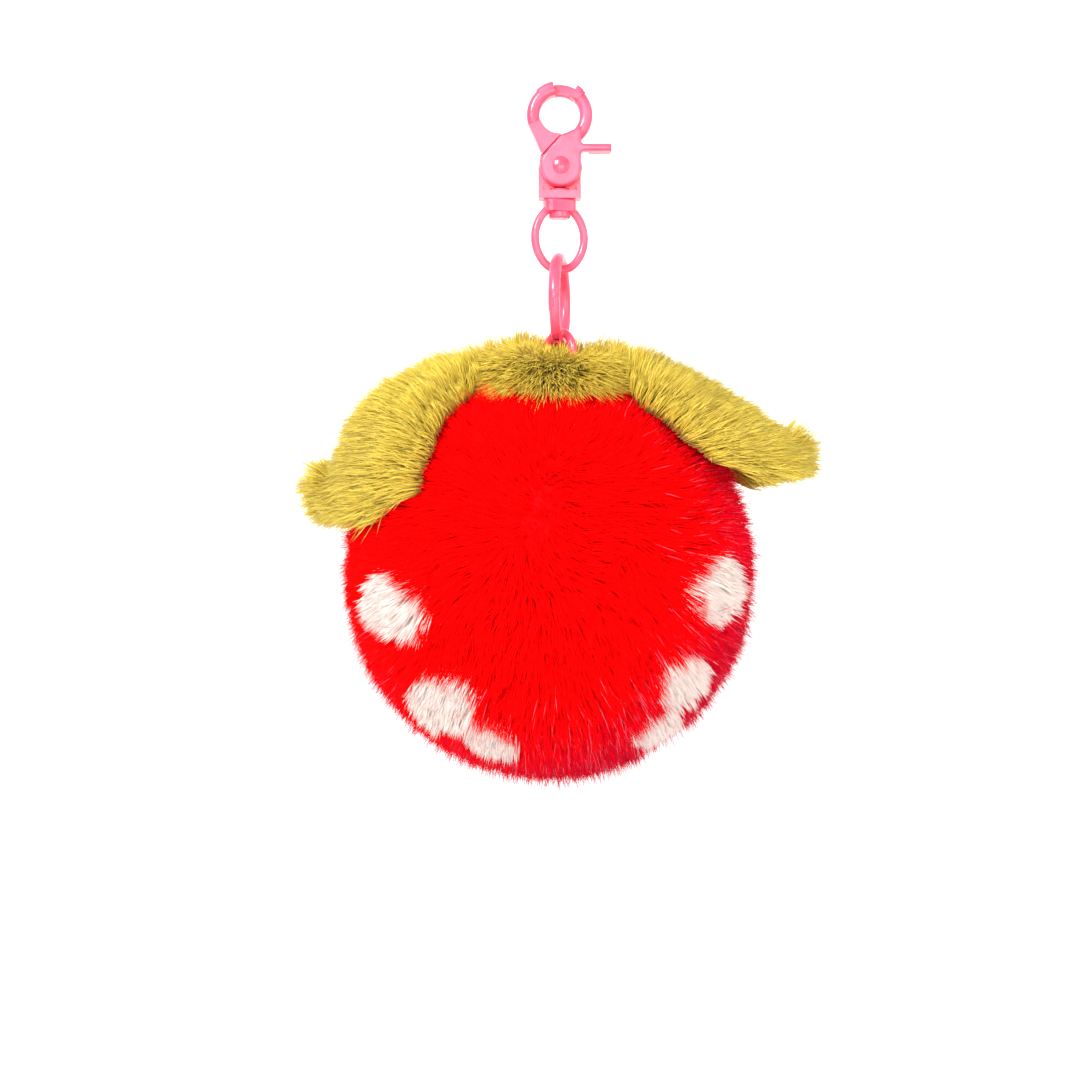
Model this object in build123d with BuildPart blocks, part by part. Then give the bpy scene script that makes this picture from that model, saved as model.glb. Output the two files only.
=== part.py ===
"""Furry fruit bag charm: a trigger clasp, a spring gate ring and a stuffed faux-fur ball with two leaves.

Millimetres, +Z up. The origin is the centre of the clasp's eye, and the charm hangs below it.
The eye's axis is Y, the charm faces -Y, and the clasp's lever points along +X.
"""

import math
import os

from build123d import *

# ---------------------------------------------------------------- clasp
EYE_RADIUS = 4.8  # clear hole of the closed jaws
JAW_WIDTH = 3.1  # radial width of the jaw bar
JAW_DEPTH = 4.4  # along the eye's axis
JAW_EDGE = 1.4  # rounding of the jaw bar's long edges
COLLAR_PROUD, COLLAR_EDGE = 0.25, 1.2  # how far the jaw collars stand out of the bar, and their rounding
JAW_OUTER = EYE_RADIUS + JAW_WIDTH

COLLAR_START, COLLAR_END = 102.0, 134.0  # fixed jaw's collar, degrees round the eye from +X
TONGUE_END = 50.0  # the fixed jaw's half-lap tongue runs from its collar to here
TIP_START, TIP_LAP, TIP_END = 40.0, 47.0, 58.0  # moving jaw's tip: full depth, then half-lapped
TRIGGER_JAW_ROOT = -62.0
FIXED_JAW_ROOT = 236.0
LAP_GAP = 0.15
TONGUE_INSET, TONGUE_EDGE = 0.3, 0.5  # the tongue is slimmer than the bar

PIVOT_X, PIVOT_Z = 0.3, -12.4  # trigger pivot
HUB_RADIUS = 4.9
PLATE_FRONT, PLATE_BACK = -3.0, -0.25  # the trigger's plate lies between these planes
BACK_FRONT, BACK_BACK = 0.1, 2.4  # the frame's back plate lies between these planes
SHOULDER_FRONT = -2.8
BACK_DISC_RADIUS = 5.1
PLATE_EDGE = 0.7  # rounding of the trigger plate's front edge
SEAM_ANGLE = 137.0  # direction of the diagonal joint's normal, seen from the front
SEAM_GAP = 0.17  # between the trigger plate and the frame's shoulder
FRAME_HALF_WIDTH = 5.1
LEG_WIDTH = 1.0
CROSSBAR_TOP, CROSSBAR_HEIGHT, CROSSBAR_DEPTH = -18.2, 1.9, 5.0
LEG_FRONT_TOP = -16.9  # the legs come forward of the back plate below this height

LEVER_TOP, LEVER_THICK, LEVER_END = -7.2, 1.7, 12.4
LEVER_ROOT = 0.9  # rounding where the lever leaves the plate
LEVER_FLANGE_START, LEVER_FLANGE_BACK = 6.9, 1.8

RIVET_RADIUS, RIVET_HEAD_RADIUS, RIVET_HEAD, RIVET_RIM = 1.4, 2.05, 0.75, 0.25
RIVET_RUNNING_GAP, PRESS_GAP = 0.05, 0.02
SPRING_COIL_RADIUS, SPRING_WIRE, SPRING_PITCH, SPRING_TURNS = 2.35, 0.24, 0.56, 2.0
SPRING_POCKET_RADIUS, SPRING_POCKET_DEPTH = 2.95, 1.75

# ---------------------------------------------------------------- swivel
POST_RADIUS, POST_FLANGE_RADIUS, POST_FLANGE = 1.3, 2.1, 0.5
FLANGE_ROOM = 0.3  # between the riveted flange and the frame round it
POST_HEAD_RADIUS, POST_HEAD = 2.6, 1.5
SWIVEL_GAP = 0.15
LOOP_YAW = 15.0  # the swivel's angle at rest
LOOP_HALF_WIDTH, LOOP_HALF_HEIGHT, LOOP_WIRE = 6.1, 7.65, 1.0  # of the wire's centreline, and its radius
LOOP_END_RADIUS = 5.2  # of the oval's top and bottom
BLOCK_LENGTH, BLOCK_DEPTH, BLOCK_HEIGHT = 7.6, 5.0, 2.9

# ---------------------------------------------------------------- gate ring
RING_RADIUS, RING_WIRE = 10.1, 1.4  # centreline radius and wire radius
RING_YAW = -8.0
LINK_GAP = 0.25  # slack between two links that hang on each other
GATE_WIRE = 1.25
GATE_NOSE, GATE_HINGE = 187.0, 238.0  # where the gate starts and is hinged, degrees round the ring
HINGE_REACH = 8.0  # degrees of ring that the hinge fork takes up
FORK_SLOT, TONGUE_WIDTH = 1.3, 1.1
HINGE_PIN_RADIUS, HINGE_PIN_GAP = 0.45, 0.04
NOSE_GAP = 0.12
NOSE_RISE = 32.0  # the joint at the nose climbs inwards at this angle
NOSE_STEPS = [(1.7, 2.7), (-0.05, 0.85), (0.05, -0.35), (-1.7, -2.7)]  # the zigzag seen from outside
NOSE_SPARE = 30.0  # degrees of bar that the zigzag is cut out of
GATE_SPRING_RADIUS, GATE_SPRING_WIRE, GATE_SPRING_PITCH, GATE_SPRING_TURNS = 0.5, 0.12, 0.45, 5
GATE_SPRING_BORE = 0.7

# ---------------------------------------------------------------- crown ring and tab
CROWN_RADIUS, CROWN_WIRE = 5.5, 1.0
CROWN_YAW = -55.0
TAB_WIDTH, TAB_PLY = 4.0, 0.7
TAB_CLEAR = 0.35  # between the crown ring's wire and the tab round it
TAB_TAIL = 9.0  # tab sewn inside the ball

# ---------------------------------------------------------------- ball
BALL_X = -2.5
BALL_RADIUS, BALL_HALF_DEPTH = 46.5, 33.0  # nominal surface of the pile
PILE = 5.0  # fur fabric: backing and dense pile
BALL_DROP = 0.85  # the ball's top is this far above the crown ring's lowest point
SEAM_SPLIT = 0.1  # between the front and the back panel
STUFFING_GAP = 0.2
CROWN_DIMPLE_RADIUS, CROWN_DIMPLE = 8.0, 3.0
PATCH_GAP = 0.12
SLOT_CLEAR = 0.15
OVAL_STEPS = 12

# Inlaid white patches on the front: name, degrees from +X, distance from the middle, half sizes, tilt.
FRONT_PATCHES = [
    ("left", 189.0, 35.5, 7.2, 7.0, 0.0),
    ("lower_left", 228.2, 36.5, 8.4, 7.6, 20.0),
    ("bottom_left", 250.0, 38.5, 6.6, 4.6, -25.0),
    ("bottom_right", 305.9, 42.5, 6.0, 5.0, 30.0),
    ("lower_right", 322.8, 37.6, 5.8, 7.0, -35.0),
    ("right", 357.5, 37.1, 7.2, 7.4, 0.0),
]
# The back has as many, spread more evenly: degrees from +X, distance from the middle, half size.
BACK_PATCHES = [
    (200.0, 35.0, 7.2),
    (236.0, 37.0, 7.4),
    (270.0, 30.0, 6.4),
    (304.0, 38.0, 6.4),
    (338.0, 35.0, 7.2),
]

# ---------------------------------------------------------------- calyx
LEAF_CLEAR = 0.5  # above the pile of the ball
LINING, LEAF_PILE, LEAF_LAYER_GAP = 0.9, 2.9, 0.5
CAP_X, CAP_RADIUS, CAP_HOLE = -1.2, 13.5, 8.8
# Sections of each leaf: degrees round the ball, lift above its resting height, half width.
LEFT_LEAF = [
    (106.5, 0, 8),
    (121, 2.2, 17),
    (135, 4.0, 23.5),
    (148, 2.4, 24.5),
    (157, 1.2, 20),
    (163.5, 1.4, 3),
]
RIGHT_LEAF = [
    (71, 0, 8),
    (58, 1.7, 15.5),
    (44, 4.8, 19.5),
    (34, 8.0, 20.5),
    (28, 10.2, 18),
    (24.5, 12, 3),
]

# ---------------------------------------------------------------- derived places
CROSSBAR_BOTTOM = CROSSBAR_TOP - CROSSBAR_HEIGHT
BLOCK_TOP = CROSSBAR_BOTTOM - SWIVEL_GAP
BLOCK_BOTTOM = BLOCK_TOP - BLOCK_HEIGHT
LOOP_TOP_Z = (BLOCK_TOP + BLOCK_BOTTOM) / 2
LOOP_Z = LOOP_TOP_Z - LOOP_HALF_HEIGHT
LOOP_BOTTOM_Z = LOOP_Z - LOOP_HALF_HEIGHT
RING_TOP_Z = LOOP_BOTTOM_Z + LOOP_WIRE + LINK_GAP + RING_WIRE
RING_Z = RING_TOP_Z - RING_RADIUS
RING_BOTTOM_Z = RING_Z - RING_RADIUS
CROWN_Z = RING_BOTTOM_Z + RING_WIRE + LINK_GAP + CROWN_WIRE - CROWN_RADIUS
CROWN_BOTTOM_Z = CROWN_Z - CROWN_RADIUS
BALL_TOP = CROWN_BOTTOM_Z - CROWN_WIRE + BALL_DROP
BALL_Z = BALL_TOP - BALL_RADIUS
DIMPLE_FLOOR = BALL_TOP - CROWN_DIMPLE
BIG = 200.0

EYE_AXIS = Axis((0, 0, 0), (0, -1, 0))
PIVOT = (PIVOT_X, 0, PIVOT_Z)


def turned(degrees):
    """Unit vector in the horizontal plane, turned from +X."""
    return Vector(math.cos(math.radians(degrees)), math.sin(math.radians(degrees)), 0)


def round_eye(degrees, radius):
    """Point on a circle round the eye, in the front view."""
    return (radius * math.cos(math.radians(degrees)), radius * math.sin(math.radians(degrees)))


def eye_section(degrees):
    """Plane through the eye's axis: local x is radial and local y is the world's Y."""
    radial = (math.cos(math.radians(degrees)), 0, math.sin(math.radians(degrees)))
    tangent = (-math.sin(math.radians(degrees)), 0, math.cos(math.radians(degrees)))
    return Plane(origin=(0, 0, 0), x_dir=radial, z_dir=tangent)


def front_plane(depth):
    """Front-view plane at a depth: local x is X, local y is Z, and its normal faces the front."""
    return Plane(origin=(0, depth, 0), x_dir=(1, 0, 0), z_dir=(0, -1, 0))


def bar_section(start, width, front, back, edge):
    """Sketch of the jaw bar's section at an angle round the eye, between two depths."""
    with BuildSketch(eye_section(start)) as section:
        with Locations((EYE_RADIUS + width / 2, (front + back) / 2)):
            RectangleRounded(width, back - front, edge)
    return section.sketch


def on_seam(distance, along):
    """Point in the front view on a line parallel to the diagonal joint, at a distance from the pivot."""
    normal = Vector(math.cos(math.radians(SEAM_ANGLE)), math.sin(math.radians(SEAM_ANGLE)))
    point = Vector(PIVOT_X, PIVOT_Z) + normal * distance + Vector(-normal.Y, normal.X) * along
    return (point.X, point.Y)


# ================================================================ clasp frame
JAW_FRONT, JAW_BACK = -JAW_DEPTH / 2, JAW_DEPTH / 2
COLLAR_FRONT, COLLAR_BACK = JAW_FRONT - COLLAR_PROUD, JAW_BACK + COLLAR_PROUD
PLATE_SEAM = HUB_RADIUS + 0.1  # the diagonal joint just clears the round hub

with BuildPart() as clasp_frame:
    # Fixed jaw, its collar and its half-lap tongue.
    add(bar_section(COLLAR_START, JAW_WIDTH, JAW_FRONT, JAW_BACK, JAW_EDGE))
    revolve(axis=EYE_AXIS, revolution_arc=FIXED_JAW_ROOT - COLLAR_START)
    add(bar_section(COLLAR_START, JAW_WIDTH + COLLAR_PROUD, COLLAR_FRONT, COLLAR_BACK, COLLAR_EDGE))
    revolve(axis=EYE_AXIS, revolution_arc=COLLAR_END - COLLAR_START)
    add(bar_section(TONGUE_END, JAW_WIDTH - TONGUE_INSET, LAP_GAP, JAW_BACK, TONGUE_EDGE))
    revolve(axis=EYE_AXIS, revolution_arc=COLLAR_START - TONGUE_END + 2)
    # Shoulder beside the diagonal joint.
    with BuildSketch(front_plane(JAW_BACK)):
        with BuildLine():
            Polyline(
                round_eye(200, JAW_OUTER - 0.05),
                on_seam(PLATE_SEAM + SEAM_GAP + 0.5, 0.9),
                on_seam(PLATE_SEAM + SEAM_GAP, 0.9),
                on_seam(PLATE_SEAM + SEAM_GAP, -5.6),
                round_eye(200, EYE_RADIUS - 1),
                close=True,
            )
        make_face()
        Circle(EYE_RADIUS, mode=Mode.SUBTRACT)
    extrude(amount=JAW_BACK - SHOULDER_FRONT)
    # Back plate behind the trigger.
    with BuildSketch(front_plane(BACK_BACK)):
        with Locations((PIVOT_X, PIVOT_Z)):
            Circle(BACK_DISC_RADIUS)
        with Locations((0, (PIVOT_Z + CROSSBAR_BOTTOM) / 2)):
            Rectangle(2 * FRAME_HALF_WIDTH, PIVOT_Z - CROSSBAR_BOTTOM)
        with BuildLine():
            Polyline(
                (-FRAME_HALF_WIDTH, PIVOT_Z - 1.0),
                on_seam(PLATE_SEAM + 0.6, 1.2),
                on_seam(PLATE_SEAM + 1.0, -4.5),
                on_seam(0, -4.5),
                (PIVOT_X, PIVOT_Z - 1.0),
                close=True,
            )
        make_face()
        Circle(EYE_RADIUS, mode=Mode.SUBTRACT)
    extrude(amount=BACK_BACK - BACK_FRONT)
    # Crossbar, and the legs that come forward to it.
    with Locations((0, 0, (CROSSBAR_TOP + CROSSBAR_BOTTOM) / 2)):
        Box(2 * FRAME_HALF_WIDTH, CROSSBAR_DEPTH, CROSSBAR_HEIGHT)
    for side in (-1, 1):
        with Locations((side * (FRAME_HALF_WIDTH - LEG_WIDTH / 2), 0, (LEG_FRONT_TOP + CROSSBAR_BOTTOM) / 2)):
            Box(LEG_WIDTH, CROSSBAR_DEPTH, LEG_FRONT_TOP - CROSSBAR_BOTTOM)
    # Room for the post's flange, the post and the rivet.
    with Locations((0, 0, CROSSBAR_TOP)):
        Cylinder(
            POST_FLANGE_RADIUS + FLANGE_ROOM,
            POST_FLANGE + FLANGE_ROOM,
            align=(Align.CENTER, Align.CENTER, Align.MIN),
            mode=Mode.SUBTRACT,
        )
    with Locations((0, 0, CROSSBAR_BOTTOM)):
        Cylinder(POST_RADIUS + PRESS_GAP, BIG / 10, mode=Mode.SUBTRACT)
    with BuildSketch(front_plane(BACK_BACK + 1)):
        with Locations((PIVOT_X, PIVOT_Z)):
            Circle(RIVET_RADIUS + PRESS_GAP)
    extrude(amount=BACK_BACK + 2, mode=Mode.SUBTRACT)

# ================================================================ trigger
with BuildPart() as trigger:
    # Teardrop plate over the pivot.
    with BuildSketch(front_plane(PLATE_BACK)):
        with Locations((PIVOT_X, PIVOT_Z)):
            Circle(HUB_RADIUS)
        with BuildLine():
            Polyline(
                on_seam(PLATE_SEAM, -0.4),
                on_seam(PLATE_SEAM, -5.5),
                (FRAME_HALF_WIDTH, -3.0),
                (FRAME_HALF_WIDTH, PIVOT_Z),
                (PIVOT_X, PIVOT_Z),
                close=True,
            )
        make_face()
        Circle(EYE_RADIUS, mode=Mode.SUBTRACT)
    extrude(amount=PLATE_BACK - PLATE_FRONT)
    # Lever, thin at the plate and deeper beyond the frame.
    with BuildSketch(front_plane(PLATE_BACK)):
        with Locations(((FRAME_HALF_WIDTH - 1 + LEVER_END) / 2, LEVER_TOP - LEVER_THICK / 2)):
            Rectangle(LEVER_END - FRAME_HALF_WIDTH + 1, LEVER_THICK)
    extrude(amount=PLATE_BACK - PLATE_FRONT)
    root_edges = trigger.edges().filter_by(Axis.Y).filter_by_position(
        Axis.X, FRAME_HALF_WIDTH - 0.01, FRAME_HALF_WIDTH + 0.01
    )
    root_edges = root_edges.filter_by_position(Axis.Z, LEVER_TOP - LEVER_THICK - 0.1, LEVER_TOP + 0.1)
    fillet(root_edges, LEVER_ROOT)
    fillet(trigger.faces().filter_by(Axis.Y).sort_by(Axis.Y)[0].outer_wire().edges(), PLATE_EDGE)
    with BuildSketch(front_plane(LEVER_FLANGE_BACK)):
        with Locations(((LEVER_FLANGE_START + LEVER_END) / 2, LEVER_TOP - LEVER_THICK / 2)):
            RectangleRounded(LEVER_END - LEVER_FLANGE_START, LEVER_THICK, 0.5)
    extrude(amount=LEVER_FLANGE_BACK - PLATE_FRONT - PLATE_EDGE)
    # Moving jaw with its half-lapped tip.
    add(bar_section(TRIGGER_JAW_ROOT, JAW_WIDTH, JAW_FRONT, JAW_BACK, JAW_EDGE))
    revolve(axis=EYE_AXIS, revolution_arc=TIP_START - TRIGGER_JAW_ROOT + 1)
    add(bar_section(TIP_START, JAW_WIDTH + COLLAR_PROUD, COLLAR_FRONT, COLLAR_BACK, COLLAR_EDGE))
    revolve(axis=EYE_AXIS, revolution_arc=TIP_LAP - TIP_START)
    add(bar_section(TIP_LAP - 1, JAW_WIDTH + COLLAR_PROUD, COLLAR_FRONT, 0, TONGUE_EDGE))
    revolve(axis=EYE_AXIS, revolution_arc=TIP_END - TIP_LAP + 1)
    # Pivot bore and the pocket for the spring behind the plate.
    with BuildSketch(front_plane(PLATE_BACK)):
        with Locations((PIVOT_X, PIVOT_Z)):
            Circle(RIVET_RADIUS + RIVET_RUNNING_GAP)
    extrude(amount=PLATE_BACK - PLATE_FRONT + 1, mode=Mode.SUBTRACT)
    with BuildSketch(front_plane(PLATE_BACK)):
        with Locations((PIVOT_X, PIVOT_Z)):
            Circle(SPRING_POCKET_RADIUS)
    extrude(amount=SPRING_POCKET_DEPTH, mode=Mode.SUBTRACT)

# ================================================================ pivot rivet and spring
dome_rise = RIVET_HEAD - RIVET_RIM
dome_radius = (RIVET_HEAD_RADIUS**2 + dome_rise**2) / (2 * dome_rise)
dome_half_angle = math.asin(RIVET_HEAD_RADIUS / dome_radius) / 2
dome_centre = PLATE_FRONT - RIVET_HEAD + dome_radius
dome_middle = (
    dome_radius * math.sin(dome_half_angle),
    dome_centre - dome_radius * math.cos(dome_half_angle),
)
dome_top = (0, PLATE_FRONT - RIVET_HEAD)

with BuildPart() as pivot_rivet:
    with BuildSketch(Plane(origin=PIVOT, x_dir=(1, 0, 0), z_dir=(0, 0, 1))):
        with BuildLine():
            Polyline(
                (0, PLATE_FRONT - RIVET_HEAD),
                (0, BACK_BACK + RIVET_HEAD),
                (RIVET_HEAD_RADIUS - 0.3, BACK_BACK + RIVET_HEAD),
                (RIVET_HEAD_RADIUS, BACK_BACK + RIVET_HEAD - 0.3),
                (RIVET_HEAD_RADIUS, BACK_BACK + PRESS_GAP),
                (RIVET_RADIUS, BACK_BACK + PRESS_GAP),
                (RIVET_RADIUS, PLATE_FRONT - RIVET_RUNNING_GAP),
                (RIVET_HEAD_RADIUS, PLATE_FRONT - RIVET_RUNNING_GAP),
                (RIVET_HEAD_RADIUS, PLATE_FRONT - RIVET_RIM),
            )
            ThreePointArc((RIVET_HEAD_RADIUS, PLATE_FRONT - RIVET_RIM), dome_middle, dome_top)
        make_face()
    revolve(axis=Axis(PIVOT, (0, 1, 0)))

with BuildPart() as trigger_spring:
    coil_start = (PIVOT_X, PLATE_BACK - SPRING_WIRE - 0.05, PIVOT_Z)
    with BuildLine():
        coil = Helix(SPRING_PITCH, SPRING_PITCH * SPRING_TURNS, SPRING_COIL_RADIUS, coil_start, (0, -1, 0))
    with BuildSketch(Plane(origin=coil @ 0, z_dir=coil % 0)):
        Circle(SPRING_WIRE)
    sweep()

# ================================================================ swivel post and loop
with BuildPart() as swivel_post:
    with Locations((0, 0, CROSSBAR_TOP)):
        Cylinder(POST_FLANGE_RADIUS, POST_FLANGE, align=(Align.CENTER, Align.CENTER, Align.MIN))
    with Locations((0, 0, CROSSBAR_TOP)):
        Cylinder(
            POST_RADIUS,
            CROSSBAR_TOP - BLOCK_BOTTOM + SWIVEL_GAP,
            align=(Align.CENTER, Align.CENTER, Align.MAX),
        )
    with Locations((0, 0, BLOCK_BOTTOM - SWIVEL_GAP)):
        Cylinder(POST_HEAD_RADIUS, POST_HEAD, align=(Align.CENTER, Align.CENTER, Align.MAX))
    fillet(swivel_post.faces().filter_by(Axis.Z).sort_by(Axis.Z)[0].edges(), 0.5)
    fillet(swivel_post.faces().filter_by(Axis.Z).sort_by(Axis.Z)[-1].edges(), 0.2)

loop_dir = turned(LOOP_YAW)
loop_normal = turned(LOOP_YAW - 90)
loop_plane = Plane(origin=(0, 0, LOOP_Z), x_dir=loop_dir, z_dir=loop_normal)

# The wire follows an oval of four tangent arcs: two tight ends and two long sides.
end_centre = LOOP_HALF_HEIGHT - LOOP_END_RADIUS
end_gap = LOOP_HALF_WIDTH - LOOP_END_RADIUS
side_radius = (LOOP_HALF_WIDTH**2 + end_centre**2 - LOOP_END_RADIUS**2) / (2 * end_gap)
side_centre = side_radius - LOOP_HALF_WIDTH
share = LOOP_END_RADIUS / (side_radius - LOOP_END_RADIUS)
join_x, join_y = side_centre * share, end_centre * (1 + share)

with BuildPart() as swivel_loop:
    with BuildLine(loop_plane):
        ThreePointArc((join_x, -join_y), (LOOP_HALF_WIDTH, 0), (join_x, join_y))
        ThreePointArc((join_x, join_y), (0, LOOP_HALF_HEIGHT), (-join_x, join_y))
        ThreePointArc((-join_x, join_y), (-LOOP_HALF_WIDTH, 0), (-join_x, -join_y))
        ThreePointArc((-join_x, -join_y), (0, -LOOP_HALF_HEIGHT), (join_x, -join_y))
    loop_start = loop_plane.from_local_coords((join_x, -join_y, 0))
    ahead = (join_x + join_y, -join_y + join_x + side_centre, 0)
    start_way = loop_plane.from_local_coords(ahead) - loop_start
    with BuildSketch(Plane(origin=loop_start, z_dir=start_way)):
        Circle(LOOP_WIRE)
    sweep()
    with BuildSketch(Plane(origin=(0, 0, BLOCK_BOTTOM), x_dir=loop_dir, z_dir=(0, 0, 1))):
        RectangleRounded(BLOCK_LENGTH, BLOCK_DEPTH, 1.6)
    extrude(amount=BLOCK_HEIGHT)
    with Locations((0, 0, BLOCK_BOTTOM)):
        Cylinder(POST_RADIUS + SWIVEL_GAP / 2, BLOCK_HEIGHT * 3, mode=Mode.SUBTRACT)
    # A relief in the wire's underside lets the post's head turn beneath the block.
    with Locations((0, 0, BLOCK_BOTTOM)):
        Cylinder(
            POST_HEAD_RADIUS + SWIVEL_GAP,
            POST_HEAD + SWIVEL_GAP,
            align=(Align.CENTER, Align.CENTER, Align.MAX),
            mode=Mode.SUBTRACT,
        )
    fillet(swivel_loop.faces().filter_by(Axis.Z).sort_by(Axis.Z)[-1].outer_wire().edges(), 0.4)

# ================================================================ gate ring
ring_normal = turned(RING_YAW)
ring_bar = turned(RING_YAW + 90)
ring_plane = Plane(origin=(0, 0, RING_Z), x_dir=ring_bar, z_dir=ring_normal)


def on_ring(degrees, radius=RING_RADIUS):
    """Point in the ring's plane, degrees from its rear side through its top."""
    return ring_plane.from_local_coords(
        (radius * math.cos(math.radians(degrees)), radius * math.sin(math.radians(degrees)), 0)
    )


def ring_section(degrees):
    """Plane across the ring's wire: local x is radial and local y is along the ring's normal."""
    radial = on_ring(degrees, 1.0) - Vector(0, 0, RING_Z)
    return Plane(origin=on_ring(degrees), x_dir=radial, z_dir=ring_normal.cross(radial))


# The joint at the nose is ruled along the way that the gate's tip moves.
nose_way = ring_bar * math.cos(math.radians(NOSE_RISE)) + Vector(0, 0, 1) * math.sin(math.radians(NOSE_RISE))
nose_plane = Plane(origin=on_ring(GATE_NOSE), x_dir=ring_normal, z_dir=nose_way * -1)


def nose_region(gap, far):
    """Sketch of everything on one side of the nose's zigzag, which is moved sideways by the gap."""
    edge = [(x + 0.85 * gap, y - 0.53 * gap) for x, y in NOSE_STEPS]
    with BuildSketch(nose_plane) as region:
        with BuildLine():
            Polyline(*edge, (edge[-1][0], far), (edge[0][0], far), close=True)
        make_face()
    return region.sketch


# The gate's coil spring sits in the end of the ring, behind the fork, and pushes on the gate's heel.
spring_bore = ring_section(GATE_HINGE + HINGE_REACH)
GATE_SPRING_LENGTH = GATE_SPRING_PITCH * GATE_SPRING_TURNS

with BuildPart(mode=Mode.PRIVATE) as bore_cutter:
    with BuildSketch(spring_bore):
        Circle(GATE_SPRING_BORE)
    extrude(amount=GATE_SPRING_LENGTH + 2 * GATE_SPRING_WIRE + 0.2)

with BuildPart() as gate_ring:
    with BuildSketch(ring_section(GATE_HINGE + HINGE_REACH)):
        Circle(RING_WIRE)
    revolve(
        axis=Axis((0, 0, RING_Z), ring_normal),
        revolution_arc=360 - (GATE_HINGE + HINGE_REACH) + GATE_NOSE + NOSE_SPARE,
    )
    extrude(nose_region(-NOSE_GAP / 2, -9), amount=RING_WIRE * 3, both=True, mode=Mode.SUBTRACT)
    # Fork for the gate's hinge.
    with BuildSketch(ring_section(GATE_HINGE - 6)):
        Circle(RING_WIRE)
        Rectangle(2 * RING_WIRE, FORK_SLOT, mode=Mode.SUBTRACT)
    revolve(axis=Axis((0, 0, RING_Z), ring_normal), revolution_arc=HINGE_REACH + 6)
    with BuildSketch(Plane(origin=on_ring(GATE_HINGE) - ring_normal * 3, z_dir=ring_normal)):
        Circle(HINGE_PIN_RADIUS + PRESS_GAP)
    extrude(amount=6, mode=Mode.SUBTRACT)
    add(bore_cutter.part, mode=Mode.SUBTRACT)

with BuildPart() as gate_spring:
    with BuildLine():
        gate_coil = Helix(
            GATE_SPRING_PITCH,
            GATE_SPRING_LENGTH,
            GATE_SPRING_RADIUS,
            spring_bore.origin + spring_bore.z_dir * (GATE_SPRING_WIRE + 0.1),
            spring_bore.z_dir,
        )
    with BuildSketch(Plane(origin=gate_coil @ 0, z_dir=gate_coil % 0)):
        Circle(GATE_SPRING_WIRE)
    sweep()

with BuildPart() as ring_gate:
    with BuildSketch(ring_section(GATE_NOSE - NOSE_SPARE)):
        Circle(GATE_WIRE)
    revolve(axis=Axis((0, 0, RING_Z), ring_normal), revolution_arc=GATE_HINGE - 8 - GATE_NOSE + NOSE_SPARE)
    extrude(nose_region(NOSE_GAP / 2, 9), amount=RING_WIRE * 3, both=True, mode=Mode.SUBTRACT)
    with BuildSketch(ring_section(GATE_HINGE - 10)):
        Rectangle(2 * GATE_WIRE - 0.3, TONGUE_WIDTH)
    revolve(axis=Axis((0, 0, RING_Z), ring_normal), revolution_arc=10)
    with BuildSketch(Plane(origin=on_ring(GATE_HINGE) - ring_normal * TONGUE_WIDTH / 2, z_dir=ring_normal)):
        Circle(GATE_WIRE - 0.15)
    extrude(amount=TONGUE_WIDTH)
    with BuildSketch(Plane(origin=on_ring(GATE_HINGE) - ring_normal * 3, z_dir=ring_normal)):
        Circle(HINGE_PIN_RADIUS + HINGE_PIN_GAP)
    extrude(amount=6, mode=Mode.SUBTRACT)

with BuildPart() as gate_hinge_pin:
    with BuildSketch(Plane(origin=on_ring(GATE_HINGE) - ring_normal * RING_WIRE, z_dir=ring_normal)):
        Circle(HINGE_PIN_RADIUS)
    extrude(amount=2 * RING_WIRE)
    fillet(gate_hinge_pin.edges().filter_by(GeomType.CIRCLE), 0.12)

# ================================================================ crown ring and hanging tab
crown_dir = turned(CROWN_YAW)
crown_normal = turned(CROWN_YAW - 90)

with BuildPart() as crown_ring:
    with BuildSketch(Plane(origin=(0, 0, CROWN_Z), x_dir=crown_dir, z_dir=(0, 0, 1))):
        with Locations((CROWN_RADIUS, 0)):
            Circle(CROWN_WIRE)
    revolve(axis=Axis((0, 0, CROWN_Z), crown_normal))

tab_plane = Plane(origin=(0, 0, CROWN_BOTTOM_Z), x_dir=crown_normal, z_dir=crown_dir * -1)
TAB_INNER = CROWN_WIRE + TAB_CLEAR
TAB_TOP = CROWN_WIRE + TAB_CLEAR + 0.6  # the ring's wire curves up within the tab's width
TAB_NECK = DIMPLE_FLOOR - CROWN_BOTTOM_Z
TAB_LOW = TAB_NECK + TAB_INNER + TAB_PLY + 0.1  # lower end of the tab's loop, which stands on the dimple

with BuildPart() as hanging_tab:
    up = 1 if tab_plane.y_dir.Z > 0 else -1
    with BuildSketch(tab_plane):
        with Locations((0, up * (TAB_TOP - TAB_INNER + TAB_LOW) / 2)):
            SlotCenterToCenter(TAB_TOP - TAB_INNER - TAB_LOW, 2 * (TAB_INNER + TAB_PLY), rotation=90)
        with Locations((0, up * (TAB_NECK + TAB_PLY - TAB_TAIL / 2))):
            Rectangle(2 * TAB_PLY + 0.1, TAB_TAIL)
        with Locations((0, up * (TAB_TOP - TAB_INNER) / 2)):
            SlotCenterToCenter(TAB_TOP - TAB_INNER + 0.01, 2 * TAB_INNER, rotation=90, mode=Mode.SUBTRACT)
    extrude(amount=TAB_WIDTH / 2, both=True)

# ================================================================ ball
BALL_CENTRE = (BALL_X, 0, BALL_Z)
ball_axis = Axis(BALL_CENTRE, (0, 1, 0))


def oval_arc(radius, depth, start, end):
    """Adds a smooth arc of an oval, between two angles from its rim, to the open line."""
    turn = (end - start) / OVAL_STEPS
    angles = [math.radians(start + turn * step) for step in range(OVAL_STEPS + 1)]
    points = [(radius * math.cos(angle), depth * math.sin(angle)) for angle in angles]
    ends = [(-radius * math.sin(angle), depth * math.cos(angle)) for angle in (angles[0], angles[-1])]
    return Spline(*points, tangents=ends)


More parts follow.
